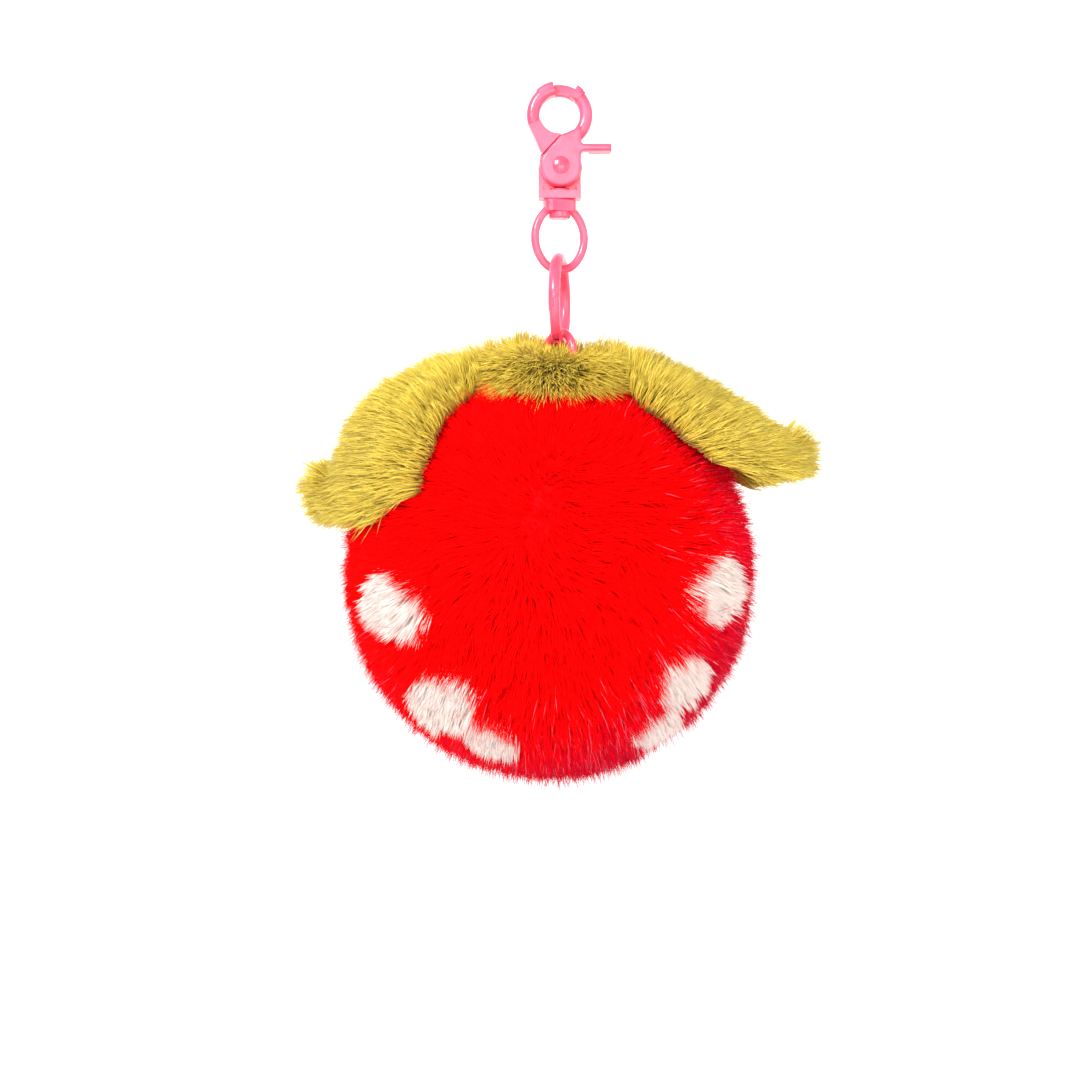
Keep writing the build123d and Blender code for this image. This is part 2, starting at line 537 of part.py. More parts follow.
def ball_profile(inset, front, split=SEAM_SPLIT):
    """Quarter profile of the ball from its middle to its rim, on the front or the back half."""
    radius, depth = BALL_RADIUS - inset, BALL_HALF_DEPTH - inset
    start = math.degrees(math.asin(split / 2 / depth))
    with BuildSketch(Plane(origin=BALL_CENTRE, x_dir=(1, 0, 0), z_dir=(0, 0, 1))) as profile:
        with BuildLine():
            arc = oval_arc(radius, depth, start, 90)
            Line(arc @ 1, (0, split / 2))
            Line((0, split / 2), arc @ 0)
        make_face()
    return profile.sketch.mirror(Plane.XZ) if front else profile.sketch


def tab_slot():
    """Cuts the dimple under the crown ring and the slot that the tab's tail is sewn into."""
    with Locations((0, 0, DIMPLE_FLOOR)):
        Cylinder(
            CROWN_DIMPLE_RADIUS,
            BIG / 8,
            align=(Align.CENTER, Align.CENTER, Align.MIN),
            mode=Mode.SUBTRACT,
        )
    slot_floor = Plane(origin=(0, 0, DIMPLE_FLOOR - TAB_TAIL - SLOT_CLEAR), x_dir=crown_dir, z_dir=(0, 0, 1))
    with BuildSketch(slot_floor) as slot:
        Rectangle(TAB_WIDTH + 2 * SLOT_CLEAR, 2 * TAB_PLY + 0.1 + 2 * SLOT_CLEAR)
    extrude(slot.sketch, amount=TAB_TAIL + 2 * SLOT_CLEAR, dir=(0, 0, 1), mode=Mode.SUBTRACT)


def patch_outline(degrees, distance, half_x, half_z, tilt, grow):
    """Outline of a patch in the front view, grown by a seam."""
    x = BALL_X + distance * math.cos(math.radians(degrees))
    z = BALL_Z + distance * math.sin(math.radians(degrees))
    with BuildSketch(front_plane(0)) as outline:
        with Locations((x, z)):
            Ellipse(half_x + grow, half_z + grow, rotation=tilt)
    return outline.sketch


def half_shell(front):
    """Adds one half of the fur shell to the open part."""
    add(ball_profile(0, front))
    revolve(axis=ball_axis)
    add(ball_profile(PILE, front))
    revolve(axis=ball_axis, mode=Mode.SUBTRACT)


with BuildPart() as front_panel:
    half_shell(True)
    tab_slot()
    for _, *place in FRONT_PATCHES:
        extrude(patch_outline(*place, PATCH_GAP), amount=BIG / 2, dir=(0, -1, 0), mode=Mode.SUBTRACT)

with BuildPart() as back_panel:
    half_shell(False)
    tab_slot()
    for degrees, distance, size in BACK_PATCHES:
        outline = patch_outline(degrees, distance, size, size, 0, PATCH_GAP)
        extrude(outline, amount=BIG / 2, dir=(0, 1, 0), mode=Mode.SUBTRACT)

patches = {}
for patch_name, *place in FRONT_PATCHES:
    with BuildPart() as patch:
        half_shell(True)
        extrude(patch_outline(*place, 0), amount=BIG / 2, dir=(0, -1, 0), mode=Mode.INTERSECT)
    patches["white_patch_" + patch_name] = patch

for number, (degrees, distance, size) in enumerate(BACK_PATCHES, 1):
    with BuildPart() as patch:
        half_shell(False)
        outline = patch_outline(degrees, distance, size, size, 0, 0)
        extrude(outline, amount=BIG / 2, dir=(0, 1, 0), mode=Mode.INTERSECT)
    patches[f"white_patch_back_{number}"] = patch

with BuildPart() as stuffing:
    for front in (True, False):
        add(ball_profile(PILE + STUFFING_GAP, front, 0))
        revolve(axis=ball_axis)
    tab_slot()

# ================================================================ calyx
with BuildPart() as calyx_cap:
    for inset, mode in ((-LEAF_CLEAR - LINING - LEAF_PILE, Mode.ADD), (-LEAF_CLEAR, Mode.SUBTRACT)):
        with BuildSketch(Plane(origin=BALL_CENTRE, x_dir=(1, 0, 0), z_dir=(0, 0, 1))):
            with BuildLine():
                arc = oval_arc(BALL_RADIUS - inset, BALL_HALF_DEPTH - inset, -90, 90)
                Line(arc @ 1, arc @ 0)
            make_face()
        revolve(axis=ball_axis, mode=mode)
    with Locations((CAP_X, 0, BALL_Z)):
        Cylinder(CAP_RADIUS, BIG, align=(Align.CENTER, Align.CENTER, Align.MIN), mode=Mode.INTERSECT)
    with Locations((0, 0, BALL_Z)):
        Cylinder(CAP_HOLE, BIG, align=(Align.CENTER, Align.CENTER, Align.MIN), mode=Mode.SUBTRACT)


def leaf_section(degrees, lift, half_width, inner, thick):
    """Curved strip across a leaf: local x is the world's Y and local y is radial from the ball's middle."""
    radial = Vector(math.cos(math.radians(degrees)), 0, math.sin(math.radians(degrees)))
    plane = Plane(origin=BALL_CENTRE, x_dir=(0, 1, 0), z_dir=Vector(0, 1, 0).cross(radial))
    height = BALL_RADIUS + LEAF_CLEAR + lift + inner

    def across(offset, y):
        depth = BALL_HALF_DEPTH + LEAF_CLEAR + offset
        return (y, height + offset - BALL_RADIUS * (1 - math.sqrt(1 - (y / depth) ** 2)))

    with BuildSketch(plane) as section:
        with BuildLine():
            low = ThreePointArc(across(0, -half_width), across(0, 0), across(0, half_width))
            high = ThreePointArc(across(thick, -half_width), across(thick, 0), across(thick, half_width))
            Line(low @ 0, high @ 0)
            Line(low @ 1, high @ 1)
        make_face()
    return section.sketch


def leaf(sections, inner, thick):
    """Adds a leaf layer to the open part, lofted through its sections and one between each two."""
    spread = sections[:1]
    for before, after in zip(sections, sections[1:]):
        spread += [tuple((a + b) / 2 for a, b in zip(before, after)), after]
    for degrees, lift, half_width in spread:
        add(leaf_section(degrees, lift, half_width, inner, thick))
    loft()


leaves = {}
for side_name, sections in (("left", LEFT_LEAF), ("right", RIGHT_LEAF)):
    with BuildPart() as lining:
        leaf(sections, 0, LINING)
    with BuildPart() as pile:
        leaf(sections, LINING + LEAF_LAYER_GAP, LEAF_PILE - LEAF_LAYER_GAP)
    leaves[f"{side_name}_leaf_lining"] = lining
    leaves[f"{side_name}_leaf_fur"] = pile

# ================================================================ export
nodes = {
    "clasp_frame": clasp_frame,
    "trigger": trigger,
    "pivot_rivet": pivot_rivet,
    "trigger_spring": trigger_spring,
    "swivel_post": swivel_post,
    "swivel_loop": swivel_loop,
    "gate_ring": gate_ring,
    "ring_gate": ring_gate,
    "gate_hinge_pin": gate_hinge_pin,
    "gate_spring": gate_spring,
    "crown_ring": crown_ring,
    "hanging_tab": hanging_tab,
    "front_fur_panel": front_panel,
    "back_fur_panel": back_panel,
    "fibre_stuffing": stuffing,
    "calyx_cap": calyx_cap,
    **patches,
    **leaves,
}
os.makedirs("parts", exist_ok=True)
for name, built in nodes.items():
    built.part.label = name
    export_step(built.part, f"parts/{name}.step")
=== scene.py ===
"""Furry fruit bag charm: enamelled clasp and rings, and a stuffed ball, calyx and leaves in long pile."""
import math

import bmesh
import bpy
import numpy as np
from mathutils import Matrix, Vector


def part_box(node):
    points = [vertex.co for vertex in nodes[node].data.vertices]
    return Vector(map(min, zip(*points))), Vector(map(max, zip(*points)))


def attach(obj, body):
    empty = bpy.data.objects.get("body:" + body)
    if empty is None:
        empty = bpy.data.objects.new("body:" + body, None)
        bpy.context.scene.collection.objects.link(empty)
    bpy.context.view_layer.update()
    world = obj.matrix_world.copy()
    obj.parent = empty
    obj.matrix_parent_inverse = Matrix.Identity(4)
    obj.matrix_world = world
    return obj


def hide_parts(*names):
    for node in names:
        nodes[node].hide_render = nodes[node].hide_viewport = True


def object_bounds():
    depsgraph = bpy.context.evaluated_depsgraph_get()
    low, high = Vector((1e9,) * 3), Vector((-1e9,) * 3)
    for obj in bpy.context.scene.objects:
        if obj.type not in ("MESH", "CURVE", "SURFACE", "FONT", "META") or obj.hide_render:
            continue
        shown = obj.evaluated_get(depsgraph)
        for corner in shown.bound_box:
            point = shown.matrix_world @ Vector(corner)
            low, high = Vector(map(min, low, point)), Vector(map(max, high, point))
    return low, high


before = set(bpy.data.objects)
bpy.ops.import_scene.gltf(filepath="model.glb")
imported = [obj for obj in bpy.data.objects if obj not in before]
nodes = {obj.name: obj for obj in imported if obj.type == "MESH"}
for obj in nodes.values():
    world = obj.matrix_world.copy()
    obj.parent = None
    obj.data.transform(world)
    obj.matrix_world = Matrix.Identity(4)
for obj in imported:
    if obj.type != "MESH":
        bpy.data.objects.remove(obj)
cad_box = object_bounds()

scene = bpy.context.scene
scene.view_settings.view_transform = "Standard"
scene.view_settings.look = "None"

MM = 0.001

# ---------------------------------------------------------------- places read from the frame


def middle(low, high):
    return (Vector(low) + Vector(high)) / 2


front_low, front_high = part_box("front_fur_panel")
_, back_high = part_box("back_fur_panel")
ball_radius = (front_high[0] - front_low[0]) / 2
ball_depth = (back_high[1] - front_low[1]) / 2
ball_middle = np.array([(front_low[0] + front_high[0]) / 2, 0.0, front_low[2] + ball_radius])
BALL_SIZE = np.array([ball_radius, ball_depth, ball_radius])
IN_FACE = np.array([1.0, 0.0, 1.0])  # leaves out the depth of a direction
cap_low, cap_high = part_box("calyx_cap")
CAP_RIM = (cap_high[0] - cap_low[0]) / 2
CAP_HOLE = CAP_RIM * 0.65  # inside this radius the calyx's hair stands up, round the crown ring

PILE_DEPTH = 3.2 * MM  # the roots lie this far under the nominal surface of the pile
BACKING_DEPTH = 1.5 * MM  # and the dense undercoat this far
PATCH_RISE = 0.4 * MM  # of a white spot's backing above the red one
FILL_DEPTH = 6.5 * MM  # of the loose fibre under the same surface
GREEN_DEPTH = 0.8 * MM  # of the roots in the leaves
CAP_DEPTH = 0.7 * MM  # and in the calyx


# ---------------------------------------------------------------- materials
GLOSS_SPREAD = 0.16  # between the enamel's smoothest and roughest places


def new_material(name):
    made = bpy.data.materials.new(name)
    made.use_nodes = True
    tree = made.node_tree
    return made, tree, tree.nodes["Principled BSDF"]


def add_node(tree, kind, **values):
    node = tree.nodes.new(kind)
    for key, value in values.items():
        if key.startswith("in_"):
            node.inputs[key[3:]].default_value = value
        else:
            setattr(node, key, value)
    return node


def colour_ramp(tree, stops):
    ramp = tree.nodes.new("ShaderNodeValToRGB")
    ramp.color_ramp.elements[0].position = stops[0][0]
    ramp.color_ramp.elements[0].color = (*stops[0][1], 1)
    ramp.color_ramp.elements[1].position = stops[-1][0]
    ramp.color_ramp.elements[1].color = (*stops[-1][1], 1)
    for place, colour in stops[1:-1]:
        ramp.color_ramp.elements.new(place).color = (*colour, 1)
    return ramp


def fur_material(name, colour_lots, roots, sheen, roughness=0.55, specular=0.3):
    """Pile: the colour lot is read along U, and painted shade, darkest at the root, from root to tip along V
    of the strand's own map.
    """
    made, tree, shader = new_material(name)
    uv = add_node(tree, "ShaderNodeUVMap", uv_map="OFBake")
    split = add_node(tree, "ShaderNodeSeparateXYZ")
    lot_ramp = colour_ramp(tree, colour_lots)
    shade = colour_ramp(tree, roots)
    mix = add_node(tree, "ShaderNodeMix", data_type="RGBA", blend_type="MULTIPLY")
    mix.inputs["Factor"].default_value = 1.0
    tree.links.new(uv.outputs["UV"], split.inputs[0])
    tree.links.new(split.outputs["X"], lot_ramp.inputs[0])
    tree.links.new(split.outputs["Y"], shade.inputs[0])
    tree.links.new(lot_ramp.outputs[0], mix.inputs[6])
    tree.links.new(shade.outputs[0], mix.inputs[7])
    tree.links.new(mix.outputs[2], shader.inputs["Base Color"])
    shader.inputs["Roughness"].default_value = roughness
    shader.inputs["Specular IOR Level"].default_value = specular
    shader.inputs["Sheen Weight"].default_value = sheen
    shader.inputs["Sheen Roughness"].default_value = 0.4
    return made


def cloth_material(name, dark, light, scale, roughness=0.9, bump=0.3):
    """Backing cloth, tape or loose fibre: mottled colour and a fine woven relief."""
    made, tree, shader = new_material(name)
    place = add_node(tree, "ShaderNodeTexCoord")
    mottle = add_node(tree, "ShaderNodeTexNoise", in_Scale=scale * 0.2, in_Detail=5.0)
    weave = add_node(tree, "ShaderNodeTexVoronoi", in_Scale=scale)
    ramp = colour_ramp(tree, [(0.3, dark), (0.7, light)])
    relief = add_node(tree, "ShaderNodeBump", in_Strength=bump, in_Distance=0.0003)
    tree.links.new(place.outputs["Object"], mottle.inputs["Vector"])
    tree.links.new(place.outputs["Object"], weave.inputs["Vector"])
    tree.links.new(mottle.outputs["Fac"], ramp.inputs[0])
    tree.links.new(ramp.outputs[0], shader.inputs["Base Color"])
    tree.links.new(weave.outputs["Distance"], relief.inputs["Height"])
    tree.links.new(relief.outputs[0], shader.inputs["Normal"])
    shader.inputs["Roughness"].default_value = roughness
    shader.inputs["Specular IOR Level"].default_value = 0.1
    return made


def enamel_material(name, thin, full, gloss):
    """Sprayed enamel over die-cast zinc: slightly uneven colour and an orange-peel skin."""
    made, tree, shader = new_material(name)
    place = add_node(tree, "ShaderNodeTexCoord")
    cloud = add_node(tree, "ShaderNodeTexNoise", in_Scale=220.0, in_Detail=3.0)
    peel = add_node(tree, "ShaderNodeTexNoise", in_Scale=1500.0, in_Detail=2.0)
    ramp = colour_ramp(tree, [(0.35, thin), (0.65, full)])
    rough = add_node(tree, "ShaderNodeMapRange")
    rough.inputs["To Min"].default_value = gloss
    rough.inputs["To Max"].default_value = gloss + GLOSS_SPREAD
    relief = add_node(tree, "ShaderNodeBump", in_Strength=0.45, in_Distance=0.00012)
    for target in (cloud, peel):
        tree.links.new(place.outputs["Object"], target.inputs["Vector"])
    tree.links.new(cloud.outputs["Fac"], ramp.inputs[0])
    tree.links.new(ramp.outputs[0], shader.inputs["Base Color"])
    tree.links.new(cloud.outputs["Fac"], rough.inputs["Value"])
    tree.links.new(rough.outputs[0], shader.inputs["Roughness"])
    tree.links.new(peel.outputs["Fac"], relief.inputs["Height"])
    tree.links.new(relief.outputs[0], shader.inputs["Normal"])
    shader.inputs["Specular IOR Level"].default_value = 0.4
    shader.inputs["Coat Weight"].default_value = 0.25
    shader.inputs["Coat Roughness"].default_value = 0.12
    return made


def steel_material(name):
    made, tree, shader = new_material(name)
    place = add_node(tree, "ShaderNodeTexCoord")
    drawn = add_node(tree, "ShaderNodeTexNoise", in_Scale=900.0, in_Detail=4.0)
    ramp = colour_ramp(tree, [(0.3, (0.42, 0.42, 0.44)), (0.7, (0.62, 0.62, 0.64))])
    tree.links.new(place.outputs["Object"], drawn.inputs["Vector"])
    tree.links.new(drawn.outputs["Fac"], ramp.inputs[0])
    tree.links.new(ramp.outputs[0], shader.inputs["Base Color"])
    shader.inputs["Metallic"].default_value = 1.0
    shader.inputs["Roughness"].default_value = 0.32
    return made


enamel = enamel_material("pink_enamel", (0.86, 0.05, 0.105), (0.95, 0.08, 0.15), 0.24)
enamel_rivet = enamel_material("pink_enamel_rivet", (0.84, 0.042, 0.09), (0.92, 0.065, 0.125), 0.18)
steel = steel_material("drawn_steel")
# Red pile: lots 0.6 to 0.85 are painted shade, crimson to dark red, and lot 1.0 is a painted pale pink glint.
red_fur = fur_material(
    "red_fur",
    [
        (0.0, (1.0, 0.0, 0.0)),
        (0.35, (1.0, 0.0, 0.002)),
        (0.6, (0.74, 0.0, 0.024)),
        (0.85, (0.45, 0.0, 0.02)),
        (1.0, (0.95, 0.12, 0.18)),
    ],
    # painted shade: the red strands darken towards the root
    [(0.0, (0.85, 0.8, 0.8)), (0.35, (0.95, 0.95, 0.95)), (0.8, (1.0, 1.0, 1.0)), (1.0, (1.0, 1.0, 1.0))],
    0.0,
    roughness=0.85,
    specular=0.05,
)
white_fur = fur_material(
    "white_fur",
    [(0.0, (0.97, 0.87, 0.81)), (0.6, (0.94, 0.77, 0.71)), (1.0, (0.90, 0.58, 0.54))],
    # painted shade: the white strands darken and redden towards the root
    [(0.0, (0.62, 0.36, 0.36)), (0.4, (0.88, 0.80, 0.78)), (1.0, (1.0, 1.0, 1.0))],
    0.1,
)
green_fur = fur_material(
    "green_fur",
    [
        (0.0, (0.78, 0.63, 0.10)),
        (0.4, (0.63, 0.46, 0.042)),
        (0.75, (0.44, 0.31, 0.022)),
        (1.0, (0.27, 0.18, 0.012)),
    ],
    # painted shade: the green strands darken towards the root
    [(0.0, (0.8, 0.76, 0.66)), (0.4, (0.93, 0.91, 0.86)), (1.0, (1.0, 1.0, 1.0))],
    0.05,
)
red_backing = cloth_material("red_backing", (0.80, 0.0, 0.002), (0.95, 0.0, 0.002), 900.0)
white_backing = cloth_material("white_backing", (0.60, 0.45, 0.43), (0.75, 0.62, 0.60), 900.0)
green_backing = cloth_material("green_backing", (0.44, 0.31, 0.025), (0.54, 0.39, 0.03), 900.0)
red_tape = cloth_material("woven_red_tape", (0.40, 0.0, 0.01), (0.58, 0.0, 0.01), 1600.0, bump=0.6)
loose_fibre = cloth_material("polyester_fibre", (0.78, 0.78, 0.76), (0.90, 0.90, 0.88), 400.0)


# ---------------------------------------------------------------- pieces
def place_piece(name, mesh, material, body, slot_name, *replaced):
    mesh.materials.append(material)
    made = bpy.data.objects.new(name, mesh)
    scene.collection.objects.link(made)
    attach(made, body)
    if replaced:
        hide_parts(*replaced)
    return made


def mesh_arrays(mesh):
    """A mesh's vertices and triangles as arrays."""
    mesh.calc_loop_triangles()
    points = np.empty(len(mesh.vertices) * 3)
    mesh.vertices.foreach_get("co", points)
    corners = np.empty(len(mesh.loop_triangles) * 3, dtype=np.int32)
    mesh.loop_triangles.foreach_get("vertices", corners)
    return points.reshape(-1, 3), corners.reshape(-1, 3)


def unit(v):
    return v / np.maximum(np.linalg.norm(v, axis=-1, keepdims=True), 1e-12)


def scatter(node, count, rng, keep):
    """Even random points on a CAD node's surface, with its normals, where keep(points, normals) is true."""
    points, corners = mesh_arrays(nodes[node].data)
    a, b, c = points[corners[:, 0]], points[corners[:, 1]], points[corners[:, 2]]
    cross = np.cross(b - a, c - a)
    area = np.linalg.norm(cross, axis=1) / 2
    centres = (a + b + c) / 3
    usable = keep(centres, unit(cross))
    area = np.where(usable, area, 0)
    chosen = rng.choice(len(area), size=count, p=area / area.sum())
    s, t = rng.random(count), rng.random(count)
    flip = s + t > 1
    s, t = np.where(flip, 1 - s, s), np.where(flip, 1 - t, t)
    found = a[chosen] + s[:, None] * (b - a)[chosen] + t[:, None] * (c - a)[chosen]
    return found, unit(cross)[chosen], area.sum()


RINGS = (0.0, 0.4, 0.75)  # places along a strand where it has a cross-section; its tip is a point
RING_WIDTHS = (0.8, 1.0, 0.62)
SIDES = 3  # of a strand's cross-section
BINS = 32  # dye lots that a strand's map can point at
GUIDE_BLOCK = 2000  # strands compared with the tufts' guides at a time


def gather(root, bend, tip, clump, per_clump, rng):
    """Pulls each strand's bend and tip towards those of the nearest guide strand, which makes tufts."""
    count = len(root)
    guide = rng.choice(count, max(1, count // per_clump), replace=False)
    nearest = np.empty(count, dtype=np.int64)
    for start in range(0, count, GUIDE_BLOCK):
        gap = root[start:start + GUIDE_BLOCK, None, :] - root[None, guide, :]
        nearest[start:start + GUIDE_BLOCK] = guide[np.argmin((gap ** 2).sum(-1), axis=1)]
    apart = root - root[nearest]
    pull = (clump * rng.uniform(0.4, 1.2, count))[:, None]
    bend = bend + (bend[nearest] + apart * 0.8 - bend) * pull * 0.5
    tip = tip + (tip[nearest] + apart * 0.3 - tip) * pull
    return bend, tip


def strand_faces():
    """One strand's triangles: two bands of quads, the fan at its tip and the cap at its root."""
    faces = []
    for ring in range(len(RINGS) - 1):
        for corner in range(SIDES):
            a, b = ring * SIDES + corner, ring * SIDES + (corner + 1) % SIDES
            faces += [(a, b, b + SIDES), (a, b + SIDES, a + SIDES)]
    last = (len(RINGS) - 1) * SIDES
    faces += [(last + corner, last + (corner + 1) % SIDES, last + SIDES) for corner in range(SIDES)]
    faces.append((2, 1, 0))
    return np.array(faces)


def pile(name, root, normal, flow, length, width, colour_lots, rng, material, slot_name,
         lift=(0.9, 0.35), frizz=0.22, clump=0.55, per_clump=22):
    """A mesh of closed tapered strands that leave the root, bend over with the flow and gather into tufts."""
    count = len(root)
    length = (length * rng.uniform(0.75, 1.2, count))[:, None]
    stray = rng.normal(0, frizz, (count, 3))
    first = unit(normal * lift[0] + flow * (1 - lift[0] * 0.5) + stray * 0.6)
    second = unit(normal * lift[1] + flow + stray)
    bend = root + first * length * 0.45
    tip = bend + second * length * 0.6
    bend, tip = gather(root, bend, tip, clump, per_clump, rng)

    rows, places = [], []
    for s, share in zip(RINGS, RING_WIDTHS):
        spot = root * (1 - s) ** 2 + bend * 2 * s * (1 - s) + tip * s * s
        along = unit(2 * (1 - s) * (bend - root) + 2 * s * (tip - bend))
        side = unit(np.cross(along, normal) + 1e-6)
        up = np.cross(side, along)
        reach = width * share / 2
        for corner in range(SIDES):
            angle = math.radians(90 + 360 / SIDES * corner)
            rows.append(spot + side * (math.cos(angle) * reach) + up * (math.sin(angle) * reach * 0.7))
            places.append((corner, s))
    rows.append(tip)
    places.append((1, 1.0))
    points = np.stack(rows, axis=1).reshape(-1, 3)
    template = strand_faces()
    corners = (template[None] + (np.arange(count) * len(rows))[:, None, None]).reshape(-1)

    mesh = bpy.data.meshes.new(name)
    mesh.vertices.add(len(points))
    mesh.vertices.foreach_set("co", points.ravel())
    mesh.loops.add(len(corners))
    mesh.loops.foreach_set("vertex_index", corners)
    triangles = len(corners) // 3
    mesh.polygons.add(triangles)
    mesh.polygons.foreach_set("loop_start", np.arange(triangles) * 3)
    mesh.polygons.foreach_set("use_smooth", np.ones(triangles, dtype=bool))

    uv = mesh.uv_layers.new(name="OFBake")
    across = np.array([p[0] for p in places])[template.ravel()]
    height = np.array([p[1] for p in places])[template.ravel()]
    lot = np.floor(np.clip(colour_lots, 0, 0.999) * BINS)
    u = (lot[:, None] + 0.1 + 0.4 * across[None]) / BINS
    v = np.broadcast_to(0.02 + 0.96 * height[None], u.shape)
    uv.data.foreach_set("uv", np.stack([u, v], axis=-1).ravel())
    mesh.update()
    mesh.validate()
    return place_piece(name, mesh, material, "plush", slot_name)


SMOOTH_PASSES = 6
WRINKLE_WAVES = ((900, 0), (800, 1), (850, 2))  # frequency per metre and phase along x, y and z


def backing(name, node, material, slot_name, voxel, inset, wrinkle):
    """A closed padded form made from a CAD node: remeshed, drawn in, and softly uneven."""
    source = bpy.data.meshes.new(name)
    copy = bmesh.new()
    copy.from_mesh(nodes[node].data)
    copy.to_mesh(source)
    copy.free()
    rough = bpy.data.objects.new(name + "_rough", source)
    scene.collection.objects.link(rough)
    remesh = rough.modifiers.new("remesh", "REMESH")
    remesh.mode = "VOXEL"
    remesh.voxel_size = voxel
    smooth = rough.modifiers.new("smooth", "SMOOTH")
    smooth.iterations = SMOOTH_PASSES
    bpy.context.view_layer.update()
    mesh = bpy.data.meshes.new_from_object(rough.evaluated_get(bpy.context.evaluated_depsgraph_get()))
    bpy.data.objects.remove(rough)
    points = np.empty(len(mesh.vertices) * 3)
    mesh.vertices.foreach_get("co", points)
    points = points.reshape(-1, 3)
    normals = np.empty(len(mesh.vertices) * 3)
    mesh.vertex_normals.foreach_get("vector", normals)
    ripple = 1.0
    for axis, (wave, phase) in enumerate(WRINKLE_WAVES):
        ripple = ripple * np.sin(points[:, axis] * wave + phase)
    points = points + normals.reshape(-1, 3) * (ripple * wrinkle - inset)[:, None]
    mesh.vertices.foreach_set("co", points.ravel())
    mesh.polygons.foreach_set("use_smooth", np.ones(len(mesh.polygons), dtype=bool))
    mesh.update()
    mesh.name = name
    made = place_piece(name, mesh, material, "plush", slot_name, node)
    return made


SEAM_SHARE = 0.1 * MM  # each half of the ball stops this short of the seam


def ball_form(name, side, inset, material, slot_name, node, lumps):
    """Closed padded form of the front half (side -1) or back half (1) of the ball, or of all of it (0)."""
    shape = bmesh.new()
    bmesh.ops.create_icosphere(shape, subdivisions=5, radius=1.0)
    for vertex in shape.verts:
        d = vertex.co.copy()
        ripple = math.sin(9 * d.x + 1) * math.sin(8 * d.y) * math.sin(10 * d.z + 2)
        reach = 1 + lumps * ripple
        vertex.co = Vector((
            d.x * (ball_radius - inset) * reach,
            d.y * (ball_depth - inset) * reach,
            d.z * (ball_radius - inset) * reach,
        ))
    if side:
        cut = bmesh.ops.bisect_plane(
            shape, geom=shape.verts[:] + shape.edges[:] + shape.faces[:],
            plane_co=(0, side * SEAM_SHARE, 0), plane_no=(0, -side, 0), clear_outer=True,
        )
        rim = [e for e in cut["geom_cut"] if isinstance(e, bmesh.types.BMEdge)]
        bmesh.ops.contextual_create(shape, geom=rim)
    bmesh.ops.recalc_face_normals(shape, faces=shape.faces[:])
    for vertex in shape.verts:
        vertex.co += Vector(ball_middle)
    mesh = bpy.data.meshes.new(name)
    shape.to_mesh(mesh)
    shape.free()
    mesh.polygons.foreach_set("use_smooth", np.ones(len(mesh.polygons), dtype=bool))
    made = place_piece(name, mesh, material, "plush", slot_name, node)
    return made


# ---------------------------------------------------------------- hardware
for node, material in (
    ("clasp_frame", enamel),
    ("trigger", enamel),
    ("pivot_rivet", enamel_rivet),
    ("swivel_post", enamel_rivet),
    ("swivel_loop", enamel),
    ("gate_ring", enamel),
    ("ring_gate", enamel),
    ("crown_ring", enamel),
    ("trigger_spring", steel),
    ("gate_hinge_pin", steel),
    ("gate_spring", steel),
):
    target = nodes[node]
    if not target.material_slots:
        target.data.materials.append(material)
    for held in target.material_slots:
        held.link = "OBJECT"
        held.material = material

# ---------------------------------------------------------------- ball
ball_form("front_backing", -1, BACKING_DEPTH, red_backing, "red_fur", "front_fur_panel", 0.006)
ball_form("back_backing", 1, BACKING_DEPTH, red_backing, "red_fur", "back_fur_panel", 0.006)
ball_form("fibre_fill", 0, FILL_DEPTH, loose_fibre, "stuffing", "fibre_stuffing", 0.015)


def ball_normal(p):
    return unit((p - ball_middle) / BALL_SIZE ** 2)


def ball_flow(p, n):
    """The pile is brushed from the middle of each face out to the seam, in loose waves on the way."""
    away = (p - ball_middle) * IN_FACE / ball_radius
    hang = np.array([0.0, 0.0, -0.35]) * np.clip(1.2 - away[:, 2:3] * 1.4, 0, 1)
    calm = np.clip(1.0 - np.linalg.norm(away, axis=1), 0, 1)[:, None]
    x, z = p[:, 0], p[:, 2]
    wave_x = np.sin(x * 210 + 1.0 + np.sin(z * 160)) + 0.6 * np.sin(z * 330 + x * 120)
    wave_z = np.sin(z * 190 + 2.0 + np.sin(x * 150)) - 0.6 * np.sin(x * 310 - z * 90)
    waves = np.stack([wave_x, np.zeros(len(p)), wave_z], axis=1)
    flow = away * 1.3 + hang + waves * calm * 0.45 + np.array([0.2, 0.0, -0.45]) * calm
    flow = flow - 0.8 * (flow * n).sum(-1, keepdims=True) * n
    return flow / np.maximum(np.linalg.norm(flow, axis=-1, keepdims=True), 0.45)


def outer(p, n):
    """True on the outer surface of a node that lies on the ball."""
    level = np.linalg.norm((p - ball_middle) / BALL_SIZE, axis=1)
    return (level > 0.985) & ((n * ball_normal(p)).sum(1) > 0.5)


def reach_out(p):
    """0 in the middle of the front or back, 1 at the rim."""
    return np.linalg.norm((p - ball_middle)[:, [0, 2]], axis=1) / ball_radius


def red_lots_and_painted_light(p, rng):
    """Bright in the middle, with painted shade that turns the pile crimson towards the rim at the lower
    right, and scattered hairs in a painted pale pink glint.
    """
    off = (p - ball_middle) / ball_radius
    # Painted shade: the lots run crimson towards the rim and towards the lower right.
    painted_shade_side = off[:, 0] * 0.75 - off[:, 2] * 0.65
    edge = np.clip((reach_out(p) - 0.55) * 1.1 + painted_shade_side * 0.6, 0, 1)
    lot = 0.05 + 0.62 * edge + rng.normal(0, 0.08, len(p))
    # Painted glints: towards the rim some hairs take the pale pink lot.
    pale = rng.random(len(p)) < 0.12 * edge
    return np.where(pale, 0.97, np.clip(lot, 0, 0.86))


RIM_START = 0.6  # from here out to the rim the ball's hair gets shorter
RIM_SHORTER = 0.38


